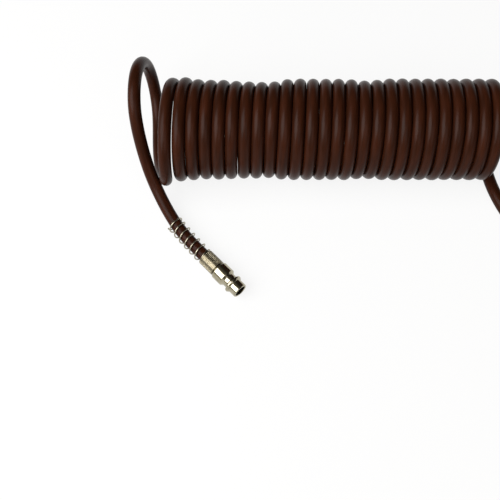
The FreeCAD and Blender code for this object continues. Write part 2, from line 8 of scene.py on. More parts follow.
import logging
import math
import random
from dataclasses import dataclass, field
from enum import Enum

import bmesh
import bpy
from mathutils import Matrix, Vector
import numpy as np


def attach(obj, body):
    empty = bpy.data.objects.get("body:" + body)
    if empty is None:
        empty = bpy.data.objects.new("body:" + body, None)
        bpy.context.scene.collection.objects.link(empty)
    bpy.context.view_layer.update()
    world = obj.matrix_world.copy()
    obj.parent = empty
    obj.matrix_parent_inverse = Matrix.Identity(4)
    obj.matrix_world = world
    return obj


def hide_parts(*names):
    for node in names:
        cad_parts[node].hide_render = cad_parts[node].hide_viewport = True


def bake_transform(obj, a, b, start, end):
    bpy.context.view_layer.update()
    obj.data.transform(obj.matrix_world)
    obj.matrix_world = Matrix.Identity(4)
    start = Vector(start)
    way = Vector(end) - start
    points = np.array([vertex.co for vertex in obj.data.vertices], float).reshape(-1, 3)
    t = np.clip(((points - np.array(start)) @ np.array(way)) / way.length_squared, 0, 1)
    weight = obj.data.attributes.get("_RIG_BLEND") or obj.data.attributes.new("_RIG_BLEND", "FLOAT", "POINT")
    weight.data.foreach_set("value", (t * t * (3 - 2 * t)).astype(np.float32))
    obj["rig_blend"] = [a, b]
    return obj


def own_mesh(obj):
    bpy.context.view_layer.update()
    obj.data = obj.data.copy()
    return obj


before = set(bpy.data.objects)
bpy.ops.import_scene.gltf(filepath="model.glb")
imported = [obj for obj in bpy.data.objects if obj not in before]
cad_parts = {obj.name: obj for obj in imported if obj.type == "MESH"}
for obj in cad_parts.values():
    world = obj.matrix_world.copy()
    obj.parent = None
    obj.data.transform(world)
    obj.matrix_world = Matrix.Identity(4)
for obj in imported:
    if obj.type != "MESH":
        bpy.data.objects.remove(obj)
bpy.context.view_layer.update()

LOG = logging.getLogger("air_hose")
MM = 0.001
# A rounded corner's steps, the share of a side that it may take, and the angle it starts from.
CORNER_STEPS = 4
CORNER_SHARE = 0.45
NEARLY_STRAIGHT = math.radians(175)
WIRE_SIDES = 12
SEAL_SIDES = 20
# The plug: the middle of its tip's face, its heading in the plan and its length from station 0.
PLUG_TIP = (-0.12997, -0.07414, 0.0062)
PLUG_HEADING = -45.62
PLUG_LENGTH = 0.0381
# The coupler's station 0. Its axis runs along X.
COUPLER_START = (0.1413, -0.0616, 0.012)

Corner = tuple[float, float, float]
Point = tuple[float, float, float]
Ring = tuple[Vector, Vector, Vector, float]
Colour = tuple[float, float, float, float]
Piece = bpy.types.Object
Socket = bpy.types.NodeSocket


# ------------------------------------------------------------------ finishes


def linear(red: int, green: int, blue: int) -> Colour:
    """A colour written as it looks on a screen, from 0 to 255, as the shader wants it."""
    shares = [level / 255 for level in (red, green, blue)]
    steps = [s / 12.92 if s <= 0.04045 else ((s + 0.055) / 1.055) ** 2.4 for s in shares]
    return (*steps, 1.0)


class Grain(Enum):
    """What a finish's fine pattern follows."""

    OBJECT = "the object's own coordinates"
    SURFACE = "the piece's UV map, along it in metres and once round it"


class Nodes:
    """A short way to write a node tree."""

    def __init__(self, tree: bpy.types.NodeTree) -> None:
        """Takes the tree to write in."""
        self.tree = tree

    def add(self, kind: str, values: dict | None = None, **settings: object) -> bpy.types.Node:
        """Adds a node.

        Args:
            kind: the node's type name.
            values: what to set on its input sockets, or which outputs to link to them.
            settings: the node's own properties.

        Returns:
            The node.
        """
        node = self.tree.nodes.new(kind)
        for name, value in settings.items():
            setattr(node, name, value)
        self.feed(node, values or {})
        return node

    def feed(self, node: bpy.types.Node, values: dict) -> None:
        """Sets a node's inputs, or links them where the value is another node's output.

        Args:
            node: the node.
            values: input name or number to a value or an output socket.
        """
        for key, value in values.items():
            socket = node.inputs[key]
            if isinstance(value, Socket):
                self.tree.links.new(value, socket)
            else:
                socket.default_value = value

    def math(self, operation: str, first: object, second: object = 0.0) -> Socket:
        """One sum of two numbers or outputs, as an output."""
        node = self.add("ShaderNodeMath", {0: first, 1: second}, operation=operation)
        return node.outputs[0]

    def ramp(self, source: Socket, low: object, high: object, span: tuple[float, float]) -> Socket:
        """Turns a number into a blend of two colours.

        Args:
            source: the number.
            low: the colour below the span.
            high: the colour above the span.
            span: where the blend starts and ends.

        Returns:
            The colour output.
        """
        node = self.add("ShaderNodeValToRGB", {0: source})
        ends = node.color_ramp.elements
        for end, colour, place in zip(ends, (low, high), span):
            end.color = colour
            end.position = place
        return node.outputs[0]


class Shading(Nodes):
    """The nodes of one material, with one Principled shader."""

    def __init__(self, name: str) -> None:
        """Starts the material under that name."""
        self.material = bpy.data.materials.new(name)
        self.material.use_nodes = True
        super().__init__(self.material.node_tree)
        self.shader = self.tree.nodes["Principled BSDF"]

    def around(self, grain: Grain, along: float, across: float) -> Socket:
        """Coordinates for a pattern, without a seam round the piece.

        Args:
            grain: what the pattern follows.
            along: how many times it is squeezed along the piece.
            across: how many times it is squeezed round the piece.

        Returns:
            The vector output.
        """
        source = self.add("ShaderNodeTexCoord")
        if grain is Grain.OBJECT:
            scale = (along, across, across)
            values = {"Vector": source.outputs["Object"], "Scale": scale}
            return self.add("ShaderNodeMapping", values).outputs[0]
        parts = self.add("ShaderNodeSeparateXYZ", {0: source.outputs["UV"]})
        turn = self.math("MULTIPLY", parts.outputs[1], 2 * math.pi)
        values = {
            0: self.math("MULTIPLY", parts.outputs[0], along),
            1: self.math("MULTIPLY", self.math("COSINE", turn), across),
            2: self.math("MULTIPLY", self.math("SINE", turn), across),
        }
        return self.add("ShaderNodeCombineXYZ", values).outputs[0]

    def noise(self, vector: Socket, detail: float = 3.0) -> Socket:
        """A soft noise over the given coordinates, from about 0.3 to 0.7."""
        values = {"Vector": vector, "Scale": 1.0, "Detail": detail, "Roughness": 0.55}
        return self.add("ShaderNodeTexNoise", values).outputs[0]

    def spread(self, source: Socket, low: float, high: float) -> Socket:
        """Maps a noise's range onto two numbers.

        Args:
            source: the noise.
            low: the number at its low end.
            high: the number at its high end.

        Returns:
            The number output.
        """
        values = {0: source, 1: 0.3, 2: 0.7, 3: low, 4: high}
        return self.add("ShaderNodeMapRange", values).outputs[0]

    def bump(self, height: Socket, depth: float) -> None:
        """Raises the surface by a height pattern, depth metres at most."""
        values = {"Height": height, "Strength": 1.0, "Distance": depth}
        node = self.add("ShaderNodeBump", values)
        self.feed(self.shader, {"Normal": node.outputs[0]})


@dataclass(frozen=True)
class Finish:
    """One finish: its name, its slot in the record and what its pattern follows."""

    name: str
    slot: str
    grain: Grain = Grain.SURFACE

    def material(self) -> bpy.types.Material:
        """The material, made the first time it is asked for."""
        known = bpy.data.materials.get(self.name)
        if known is not None:
            return known
        nodes = Shading(self.name)
        self.mix(nodes)
        return nodes.material

    def mix(self, nodes: Shading) -> None:
        """Writes the material's nodes."""
        raise NotImplementedError


@dataclass(frozen=True)
class Polyurethane(Finish):
    """Glossy soft plastic tube, a little cloudy, with faint draw lines along it."""

    deep: tuple[int, int, int] = (42, 19, 9)
    pale: tuple[int, int, int] = (54, 25, 13)

    def mix(self, nodes: Shading) -> None:
        """Writes the material's nodes."""
        cloud = nodes.noise(nodes.around(self.grain, 55.0, 1.3))
        lines = nodes.noise(nodes.around(self.grain, 9.0, 16.0))
        specks = nodes.noise(nodes.around(self.grain, 1900.0, 9.0), 2.0)
        colour = nodes.ramp(cloud, linear(*self.deep), linear(*self.pale), (0.36, 0.66))
        nodes.feed(
            nodes.shader,
            {
                "Base Color": colour,
                "Roughness": nodes.spread(lines, 0.26, 0.33),
                "IOR": 1.4,
                "Specular IOR Level": 0.1,
            },
        )
        height = nodes.math("ADD", lines, nodes.math("MULTIPLY", specks, 0.35))
        nodes.bump(height, 0.00001)


@dataclass(frozen=True)
class Metal(Finish):
    """Bare or plated metal, with the fine rings that turning leaves and small stains."""

    colour: tuple[int, int, int] = (177, 170, 149)
    stain: tuple[int, int, int] = (152, 145, 122)
    roughness: tuple[float, float] = (0.09, 0.16)
    rings: float = 4200.0
    depth: float = 0.000012

    def mix(self, nodes: Shading) -> None:
        """Writes the material's nodes."""
        object_wide = self.grain is Grain.OBJECT
        patches = nodes.noise(nodes.around(self.grain, 260.0, 260.0 if object_wide else 1.2))
        rings = nodes.noise(nodes.around(self.grain, self.rings, 40.0 if object_wide else 0.2))
        span = (0.3, 0.62)
        nodes.feed(
            nodes.shader,
            {
                "Base Color": nodes.ramp(patches, linear(*self.stain), linear(*self.colour), span),
                "Metallic": 1.0,
                "Roughness": nodes.spread(patches, self.roughness[1], self.roughness[0]),
            },
        )
        nodes.bump(rings, self.depth)


@dataclass(frozen=True)
class SealRubber(Finish):
    """Matt black rubber with a fine grain."""

    def mix(self, nodes: Shading) -> None:
        """Writes the material's nodes."""
        grain = nodes.noise(nodes.around(self.grain, 1500.0, 6.0))
        colour = nodes.ramp(grain, linear(22, 22, 23), linear(44, 43, 42), (0.35, 0.65))
        nodes.feed(nodes.shader, {"Base Color": colour, "Roughness": 0.6})
        nodes.bump(grain, 0.00003)


@dataclass(frozen=True)
class Fibre(Finish):
    """Pressed red-brown fibre, with specks."""

    def mix(self, nodes: Shading) -> None:
        """Writes the material's nodes."""
        specks = nodes.noise(nodes.around(Grain.OBJECT, 1800.0, 1800.0), 5.0)
        colour = nodes.ramp(specks, linear(120, 58, 42), linear(186, 106, 80), (0.38, 0.62))
        nodes.feed(nodes.shader, {"Base Color": colour, "Roughness": 0.82})
        nodes.bump(specks, 0.00005)


HOSE = Polyurethane("hose_polyurethane", "hose")
NICKEL = Metal("nickel_plate_turned", "nickel_fitting")
NICKEL_PLAIN = Metal("nickel_plate_plain", "nickel_fitting", Grain.OBJECT, rings=2200.0)
# The same nickel plate as NICKEL, painted darker for the knurled nuts and the grip teeth. This is painted
# shade standing in for the knurl's duller highlight.
KNURL_PAINTED_DARKER = Metal(
    "nickel_plate_knurled_painted_shade", "knurled_nut", Grain.OBJECT, colour=(142, 134, 114),
    stain=(118, 110, 90), roughness=(0.24, 0.36), rings=3000.0,
)
WIRE = Metal(
    "spring_wire_drawn", "spring_wire", colour=(172, 166, 148), stain=(138, 130, 110),
    roughness=(0.2, 0.34), rings=300.0,
)
RING_STEEL = Metal("stop_ring_steel", "spring_wire", Grain.OBJECT, colour=(176, 174, 170))
BALL_STEEL = Metal(
    "ball_steel_polished", "ball_steel", Grain.OBJECT, colour=(222, 222, 224),
    stain=(204, 204, 208), roughness=(0.06, 0.1), depth=0.000002,
)
VALVE_BRASS = Metal(
    "valve_brass_turned", "valve_brass", Grain.OBJECT, colour=(214, 178, 104),
    stain=(178, 138, 74), roughness=(0.2, 0.32),
)
RUBBER = SealRubber("seal_rubber_black", "seal_rubber")
FIBRE = Fibre("washer_fibre_red", "washer_fibre", Grain.OBJECT)


# ------------------------------------------------------------------ making meshes


def enlist(piece: Piece, body: str, finish: Finish, *nodes: str) -> Piece:
    """Gives a piece its finish and its body, and lets it stand for CAD nodes.

    Args:
        piece: the finished mesh object.
        body: the CAD body that it moves with.
        finish: its finish.
        nodes: the CAD nodes that it replaces.

    Returns:
        The piece.
    """
    if not piece.data.materials:
        piece.data.materials.append(finish.material())
    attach(piece, body)
    if nodes:
        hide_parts(*nodes)
    LOG.info("%s: %d faces on %s", piece.name, len(piece.data.polygons), body)
    return piece


def new_object(name: str, mesh: bpy.types.Mesh) -> Piece:
    """Links a new object with that mesh into the scene."""
    piece = bpy.data.objects.new(name, mesh)
    bpy.context.scene.collection.objects.link(piece)
    return piece


def smooth(mesh: bpy.types.Mesh, angle: float = 32.0) -> None:
    """Shades a mesh smooth, with edges sharper than the angle kept sharp.

    Args:
        mesh: the mesh.
        angle: the angle, in degrees.
    """
    mesh.polygons.foreach_set("use_smooth", [True] * len(mesh.polygons))
    mesh.set_sharp_from_angle(angle=math.radians(angle))


def outwards(shape: bmesh.types.BMesh) -> None:
    """Turns a closed shape's faces outwards."""
    if shape.calc_volume(signed=True) < 0:
        bmesh.ops.reverse_faces(shape, faces=shape.faces)


def finished(name: str, shape: bmesh.types.BMesh, place: Matrix, angle: float = 32.0) -> Piece:
    """Makes a shape into a smooth-shaded piece, and lets go of the shape.

    Args:
        name: the piece's name.
        shape: its faces.
        place: the matrix to the model's frame.
        angle: edges sharper than this stay sharp, in degrees.

    Returns:
        The piece.
    """
    mesh = bpy.data.meshes.new(name)
    shape.to_mesh(mesh)
    shape.free()
    mesh.transform(place)
    smooth(mesh, angle)
    return new_object(name, mesh)


def rounded(outline: list[Corner]) -> list[tuple[float, float]]:
    """Rounds the corners of a closed outline.

    Args:
        outline: (station, radius, rounding) of each corner, in millimetres.

    Returns:
        The new outline's (station, radius) pairs.
    """
    result = []
    for index, (station, radius, rounding) in enumerate(outline):
        here = Vector((station, radius))
        before = Vector(outline[index - 1][:2]) - here
        after = Vector(outline[(index + 1) % len(outline)][:2]) - here
        angle = before.angle(after, math.pi)
        if rounding <= 0 or angle > NEARLY_STRAIGHT:
            result.append((station, radius))
            continue
        room = CORNER_SHARE * min(before.length, after.length)
        reach = min(rounding / math.tan(angle / 2), room)
        start = here + before.normalized() * reach
        end = here + after.normalized() * reach
        for step in range(CORNER_STEPS + 1):
            t = step / CORNER_STEPS
            point = start * (1 - t) ** 2 + here * (2 * t * (1 - t)) + end * t**2
            result.append((point.x, max(point.y, 0.0)))
    return result


@dataclass
class Axis:
    """A fitting's axis: where its station 0 is, in metres, and its heading in the plan."""

    origin: Point
    heading: float = 0.0

    def place(self) -> Matrix:
        """The matrix from stations and radii in millimetres to the model's frame."""
        turn = Matrix.Rotation(math.radians(self.heading), 4, "Z")
        return Matrix.Translation(self.origin) @ turn @ Matrix.Scale(MM, 4)


def turned(
    name: str,
    axis: Axis,
    outline: list[Corner],
    segments: int = 96,
    flats: float | None = None,
) -> Piece:
    """Revolves a closed outline about a fitting's axis.

    Args:
        name: the piece's name.
        axis: the fitting's axis.
        outline: (station, radius, rounding) of each corner, in millimetres.
        segments: how many faces go round.
        flats: half the distance across six flats that cut what stands beyond them.

    Returns:
        The piece, with a UV map that runs along its outline in metres and once round it.
    """
    points = rounded(outline)
    shape = bmesh.new()
    uv = shape.loops.layers.uv.new("UVMap")
    rings = []
    for station, radius in points:
        if radius < 1e-6:
            rings.append([shape.verts.new((station, 0, 0))] * segments)
            continue
        ring = []
        for k in range(segments):
            angle = 2 * math.pi * k / segments
            reach = radius
            if flats is not None and radius > flats:
                corner = (angle % (math.pi / 3)) - math.pi / 6
                reach = min(radius, flats / math.cos(corner))
            position = (station, -reach * math.sin(angle), reach * math.cos(angle))
            ring.append(shape.verts.new(position))
        rings.append(ring)
    along = [0.0]
    for first, second in zip(points, points[1:] + points[:1]):
        along.append(along[-1] + math.dist(first, second) * MM)
    for index, ring in enumerate(rings):
        follower = rings[(index + 1) % len(rings)]
        for k in range(segments):
            after = (k + 1) % segments
            corners = [ring[k], ring[after], follower[after], follower[k]]
            places = [(index, k), (index, k + 1), (index + 1, k + 1), (index + 1, k)]
            pairs = enumerate(zip(corners, places))
            kept = [(c, p) for i, (c, p) in pairs if c not in corners[:i]]
            if len(kept) < 3:
                continue
            face = shape.faces.new([c for c, _ in kept])
            for loop, (_, (i, turn)) in zip(face.loops, kept):
                loop[uv].uv = (along[i], turn / segments)
    outwards(shape)
    return finished(name, shape, axis.place())


def copied(name: str, node: str) -> Piece:
    """A smooth-shaded copy, under that name, of a CAD node's shape."""
    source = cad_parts[node]
    mesh = source.data.copy()
    mesh.transform(source.matrix_world)
    mesh.materials.clear()
    shape = bmesh.new()
    shape.from_mesh(mesh)
    bmesh.ops.remove_doubles(shape, verts=shape.verts, dist=1e-6)
    shape.to_mesh(mesh)
    shape.free()
    smooth(mesh, 30.0)
    return new_object(name, mesh)


# ------------------------------------------------------------------ repeated and swept pieces


class NodeModifier(Nodes):
    """A Geometry Nodes tree with named inputs, which makes instances real and paints them."""

    def __init__(self, name: str, sizes: tuple[str, ...], counts: tuple[str, ...]) -> None:
        """Starts the tree. It also has a Material input.

        Args:
            name: the tree's name.
            sizes: the names of its inputs that are plain numbers.
            counts: the names of those that are whole numbers.
        """
        super().__init__(bpy.data.node_groups.new(name, "GeometryNodeTree"))
        face = self.tree.interface
        face.new_socket("Geometry", in_out="INPUT", socket_type="NodeSocketGeometry")
        face.new_socket("Geometry", in_out="OUTPUT", socket_type="NodeSocketGeometry")
        kinds = {"Float": sizes, "Int": counts, "Material": ("Material",)}
        self.sockets = {
            key: face.new_socket(key, in_out="INPUT", socket_type=f"NodeSocket{kind}").identifier
            for kind, keys in kinds.items()
            for key in keys
        }
        self.source = self.tree.nodes.new("NodeGroupInput")
        self.target = self.tree.nodes.new("NodeGroupOutput")

    def given(self, name: str) -> Socket:
        """One of the tree's inputs, as an output to link from."""
        return self.source.outputs[name]

    def close(self, geometry: Socket) -> None:
        """Ends the tree: instances made real, then the material."""
        real = self.add("GeometryNodeRealizeInstances", {0: geometry})
        painted = self.add(
            "GeometryNodeSetMaterial",
            {"Geometry": real.outputs[0], "Material": self.given("Material")},
        )
        self.tree.links.new(painted.outputs[0], self.target.inputs[0])

    def grow(self, name: str, base: bpy.types.Mesh, values: dict[str, object]) -> Piece:
        """Runs the tree on a base mesh and keeps the result as a plain mesh.

        Args:
            name: the new piece's name.
            base: the mesh that the tree starts from.
            values: the tree's inputs by name.

        Returns:
            The piece, with no modifier on it.
        """
        piece = new_object(name, base)
        modifier = piece.modifiers.new("grow", "NODES")
        modifier.node_group = self.tree
        for key, value in values.items():
            modifier[self.sockets[key]] = value
        bpy.context.view_layer.update()
        graph = bpy.context.evaluated_depsgraph_get()
        mesh = bpy.data.meshes.new_from_object(piece.evaluated_get(graph))
        piece.modifiers.clear()
        piece.data = mesh
        mesh.name = name
        return piece


def wire_tree() -> NodeModifier:
    """A round wire along a line, with its ends closed."""
    tree = NodeModifier("wire_along_line", ("Wire radius",), ("Sides",))
    line = tree.add("GeometryNodeMeshToCurve", {"Mesh": tree.given("Geometry")})
    rim = tree.add(
        "GeometryNodeCurvePrimitiveCircle",
        {"Resolution": tree.given("Sides"), "Radius": tree.given("Wire radius")},
    )
    wire = tree.add(
        "GeometryNodeCurveToMesh",
        {"Curve": line.outputs[0], "Profile Curve": rim.outputs[0], "Fill Caps": True},
    )
    tree.close(tree.add("GeometryNodeSetShadeSmooth", {0: wire.outputs[0]}).outputs[0])
    return tree


def knurl_tree() -> NodeModifier:
    """Rows of small four-sided teeth round a cylinder that lies along X, in millimetres."""
    sizes = ("Radius", "Start", "Row pitch", "Tooth height", "Tooth width", "Top share")
    tree = NodeModifier("teeth_round_cylinder", sizes, ("Rows", "Columns"))
    count = tree.math("MULTIPLY", tree.given("Rows"), tree.given("Columns"))
    points = tree.add("GeometryNodePoints", {"Count": count})
    index = tree.add("GeometryNodeInputIndex").outputs[0]
    row = tree.math("FLOOR", tree.math("DIVIDE", index, tree.given("Columns")))
    column = tree.math("MODULO", index, tree.given("Columns"))
    share = tree.math("DIVIDE", column, tree.given("Columns"))
    turn = tree.math("MULTIPLY", share, 2 * math.pi)
    across = tree.math("MULTIPLY", row, tree.given("Row pitch"))
    place = tree.add(
        "ShaderNodeCombineXYZ",
        {
            0: tree.math("ADD", across, tree.given("Start")),
            1: tree.math("MULTIPLY", tree.math("COSINE", turn), tree.given("Radius")),
            2: tree.math("MULTIPLY", tree.math("SINE", turn), tree.given("Radius")),
        },
    )
    set_place = tree.add(
        "GeometryNodeSetPosition", {"Geometry": points.outputs[0], "Position": place.outputs[0]}
    )
    width = tree.given("Tooth width")
    values = {
        "Vertices": 4,
        "Radius Top": tree.math("MULTIPLY", width, tree.given("Top share")),
        "Radius Bottom": width,
        "Depth": tree.given("Tooth height"),
    }
    tooth = tree.add("GeometryNodeMeshCone", values, fill_type="NGON")
    square = tree.add(
        "GeometryNodeTransform",
        {"Geometry": tooth.outputs["Mesh"], "Rotation": (0, 0, math.pi / 4)},
    )
    swing = tree.add("ShaderNodeCombineXYZ", {0: tree.math("SUBTRACT", turn, math.pi / 2)})
    facing = tree.add("FunctionNodeEulerToRotation", {0: swing.outputs[0]})
    rows = tree.add(
        "GeometryNodeInstanceOnPoints",
        {
            "Points": set_place.outputs[0],
            "Instance": square.outputs[0],
            "Rotation": facing.outputs[0],
        },
    )
    tree.close(rows.outputs[0])
    return tree


def teeth(name: str, axis: Axis, body: str, tree: NodeModifier, sizes: dict[str, float]) -> Piece:
    """The teeth of a fitting's grip.

    Args:
        name: the piece's name.
        axis: the fitting's axis.
        body: the body that they move with.
        tree: the tree that sets teeth round a cylinder.
        sizes: the tree's sizes by name, in millimetres.

    Returns:
        The piece.
    """
    values = {**sizes, "Material": KNURL_PAINTED_DARKER.material()}
    piece = tree.grow(name, bpy.data.meshes.new(name), values)
    piece.data.transform(axis.place())
    return enlist(piece, body, KNURL_PAINTED_DARKER)


@dataclass
class Winding:
    """A wire wound about a fitting's axis, in millimetres.

    Stages are (turns, advance, radius) in order. A winding that hangs leaves the axis at
    hangs_from and is hangs_over long from there: bow and drop say how far its middle and its
    free end stand off the axis, sideways and up.
    """

    start: float
    wire: float
    stages: list[tuple[float, float, float]]
    hangs_from: float = 0.0
    hangs_over: float = 1.0
    bow: tuple[float, float] = (0.0, 0.0)
    drop: tuple[float, float] = (0.0, 0.0)
    steps: int = 30

    def line(self) -> list[Vector]:
        """The wire's centre line in the fitting's own axis."""
        station, turned_by, radius = self.start, 0.0, self.stages[0][2]
        points = []
        for turns, advance, target in self.stages:
            count = max(2, round(turns * self.steps))
            begin = radius
            for step in range(0 if not points else 1, count + 1):
                share = step / count
                radius = begin + (target - begin) * share
                angle = 2 * math.pi * (turned_by + turns * share)
                here = station + advance * share
                out = max(0.0, self.hangs_from - here) / self.hangs_over
                side, up = (
                    4 * b * out * (1 - out) + d * out**2 for b, d in zip(self.bow, self.drop)
                )
                across = (radius * math.cos(angle) + side, up - radius * math.sin(angle))
                points.append(Vector((here, *across)))
            turned_by += turns
            station += advance
        return points

    def wind(self, name: str, axis: Axis, tree: NodeModifier) -> Piece:
        """Makes the wire.

        Args:
            name: the piece's name.
            axis: the fitting's axis.
            tree: the tree that lays a wire along a line.

        Returns:
            The piece.
        """
        points = [axis.place() @ point for point in self.line()]
        base = bpy.data.meshes.new(f"{name}_line")
        base.from_pydata(points, [(i, i + 1) for i in range(len(points) - 1)], [])
        radius = self.wire / 2 * MM
        values = {"Wire radius": radius, "Sides": WIRE_SIDES, "Material": WIRE.material()}
        piece = tree.grow(name, base, values)
        mesh = piece.data
        shape = bmesh.new()
        shape.from_mesh(mesh)
        outwards(shape)
        shape.to_mesh(mesh)
        shape.free()
        smooth(mesh, 50.0)
        return piece


# ------------------------------------------------------------------ the hose


# How much wider than the coil a turn's upper part is, by turn, in metres.
TURN_SPREAD = {
    2: 0.0026, 3: 0.0005, 4: -0.0012, 5: -0.0002, 6: -0.0014, 7: -0.0024, 8: -0.0027,
    9: -0.0038, 10: -0.0005, 14: -0.0002, 16: -0.0015, 17: -0.0017,
}
# The hose's free ends, as route points from fitting to coil.
PLUG_ROUTE = [
    (-0.1496, -0.0541, 0.0062), (-0.1566, -0.0469, 0.0062), (-0.1642, -0.0388, 0.0062),
    (-0.1710, -0.0303, 0.0063), (-0.1766, -0.0215, 0.0072), (-0.1811, -0.0136, 0.0090),
    (-0.1852, -0.0058, 0.0125), (-0.1887, 0.0015, 0.0183), (-0.1911, 0.0077, 0.0255),
    (-0.1932, 0.0145, 0.0344), (-0.1947, 0.0218, 0.0449), (-0.1954, 0.0294, 0.0534),
    (-0.1955, 0.0397, 0.0580), (-0.1953, 0.0511, 0.0580), (-0.1947, 0.0614, 0.0534),
    (-0.1938, 0.0698, 0.0449), (-0.1927, 0.0737, 0.0342), (-0.1915, 0.0725, 0.0229),
    (-0.1902, 0.0666, 0.0130), (-0.1890, 0.0565, 0.0064), (-0.1884, 0.0454, 0.0040),
    (-0.1877, 0.0342, 0.0041), (-0.1867, 0.0234, 0.0042),
]
COUPLER_ROUTE = [
    (0.1513, -0.0616, 0.0120), (0.1424, -0.0616, 0.0120), (0.1305, -0.0616, 0.0118),
    (0.1185, -0.0617, 0.0108), (0.1060, -0.0619, 0.0088), (0.0936, -0.0610, 0.0066),
    (0.0816, -0.0580, 0.0050), (0.0704, -0.0524, 0.0042), (0.0606, -0.0446, 0.0040),
    (0.0522, -0.0352, 0.0040), (0.0452, -0.0246, 0.0040), (0.0396, -0.0132, 0.0040),
    (0.0354, -0.0012, 0.0040), (0.0328, 0.0112, 0.0040), (0.0319, 0.0234, 0.0040),
]


@dataclass
class Hose:
    """The whole hose: the plug's free end, the coil and the coupler's free end, in one tube."""

    diameter: float = 0.008
    bore: float = 0.005
    length: float = 4.99
    turns: int = 26
    pitch: float = 0.00807
    mean_radius: float = 0.028
    centre: tuple[float, float] = (0.0264, 0.032)
    first_front: float = -0.1766
    first_gap: float = 0.0083
    entry_gap: float = 0.0090
    entry_sweep: float = 0.190
    bulge_depth: float = 0.0050
    bulge_turn: float = 0.99
    bulge_end: float = 1.25
    shift_range: float = 0.0001
    width_range: float = 0.0003
    usual_spread: float = 0.0003
    ease_steps: int = 4
    soft_turns: float = 0.25
    per_turn: int = 16
    resolution: int = 4
    sides: int = 28
    bore_rings: int = 5
    seed: int = 7
    line: list[Vector] = field(default_factory=list)
    spread: dict[int, float] = field(default_factory=lambda: dict(TURN_SPREAD))
    plug_end: list[Point] = field(default_factory=lambda: list(PLUG_ROUTE))
    coupler_end: list[Point] = field(default_factory=lambda: list(COUPLER_ROUTE))

    def station(self, turn: float) -> float:
        """The coil's X at a turn, counted so that turn 1 is the first turn's front."""
        if turn < 1:
            before = 1 - turn
            return self.first_front - before * self.entry_gap - before**2 * self.entry_sweep
        if turn < 2:
            return self.first_front + (turn - 1) * self.first_gap
        return self.first_front + self.first_gap + (turn - 2) * self.pitch

    def bulge(self, turn: float) -> float:
        """How far the first turn's lower front stands forward of the others, in metres."""
        if turn >= self.bulge_end:
            return 0.0
        share = math.cos(2 * math.pi * (turn - self.bulge_turn))
        return self.bulge_depth * max(0.0, share) ** 2

    def coil(self) -> list[Point]:
        """Route points round the coil: up at the front, over the top and down behind."""
        chance = random.Random(self.seed)
        numbers = range(self.turns + 2)
        shifts = [chance.uniform(-self.shift_range, self.shift_range) for _ in numbers]
        widths = [
            chance.uniform(-self.width_range, self.width_range)
            + self.spread.get(number, self.usual_spread)
            for number in numbers
        ]
        # The spline runs a little inside its control points, so they stand further out.
        radius = self.mean_radius * 2 / (1.5 + math.cos(2 * math.pi / self.per_turn) * 0.5)
        steps = self.turns * self.per_turn
        points = []
        for step in range(1, steps):
            turn = 0.75 + step / self.per_turn
            angle = 2 * math.pi * (turn - 1)
            whole, share = int(turn), turn % 1
            shift, width = (
                each[whole] * (1 - share) + each[whole + 1] * share for each in (shifts, widths)
            )
            near_floor = 0.5 - 0.5 * math.sin(angle)
            ease = min(1.0, step / self.ease_steps, (steps - step) / self.ease_steps)
            reach = radius + width * (1 - near_floor**2) * ease
            points.append(
                (
                    self.station(turn) + shift * ease,
                    self.centre[0] - reach * math.cos(angle) - self.bulge(turn),
                    self.centre[1] + radius * math.sin(angle),
                )
            )
        return points

    def route(self) -> list[Point]:
        """All route points, from the plug's barb to the coupler's."""
        return self.plug_end + self.coil() + self.coupler_end[::-1]

    def centre_line(self) -> list[Vector]:
        """Points read from the smooth spline that the route points control."""
        points = self.route()
        curve = bpy.data.curves.new("hose_route", "CURVE")
        curve.dimensions = "3D"
        curve.resolution_u = self.resolution
        spline = curve.splines.new("NURBS")
        spline.points.add(len(points) - 1)
        for knot, point in zip(spline.points, points):
            knot.co = (*point, 1.0)
        spline.order_u = 3
        spline.use_endpoint_u = True
        holder = bpy.data.objects.new("hose_route", curve)
        bpy.context.scene.collection.objects.link(holder)
        bpy.context.view_layer.update()
        graph = bpy.context.evaluated_depsgraph_get()
        mesh = bpy.data.meshes.new_from_object(holder.evaluated_get(graph))
        line = [vertex.co.copy() for vertex in mesh.vertices]
        bpy.data.meshes.remove(mesh)
        bpy.data.objects.remove(holder)
        bpy.data.curves.remove(curve)
        return line

    def rings(self, line: list[Vector]) -> list[Ring]:
        """A frame at each point of the centre line that turns as little as it can.

        Args:
            line: the centre line.

        Returns:
            Each point with its side and up directions and its distance along the hose.
        """
        headings = []
        for index in range(len(line)):
            before, after = line[max(index - 1, 0)], line[min(index + 1, len(line) - 1)]
            headings.append((after - before).normalized())
        side = headings[0].cross(Vector((0, 0, 1))).normalized()
        frames, travelled = [], 0.0
        for index, heading in enumerate(headings):
            if index:
                side = headings[index - 1].rotation_difference(heading) @ side
                side = (side - heading * side.dot(heading)).normalized()
                travelled += (line[index] - line[index - 1]).length
            frames.append((line[index], side, heading.cross(side), travelled))
        return frames

    def follow(self, frames: list[Ring]) -> list[float]:
        """How far each ring goes with the coupler's end as the coil stretches, from 0 to 1."""
        first = len(self.plug_end) * self.resolution
        last = len(frames) - len(self.coupler_end) * self.resolution
        start, end = frames[first][3], frames[last][3]
        soft = self.soft_turns * (end - start) / self.turns
        shares = []
        for _, _, _, travelled in frames:
            share = (travelled - start) / (end - start)
            edge = soft / (end - start)
            if share < edge:
                share = max(0.0, share + edge) ** 2 / (4 * edge)
            elif share > 1 - edge:
                share = 1 - max(0.0, 1 + edge - share) ** 2 / (4 * edge)
            shares.append(min(1.0, max(0.0, share)))
        return shares

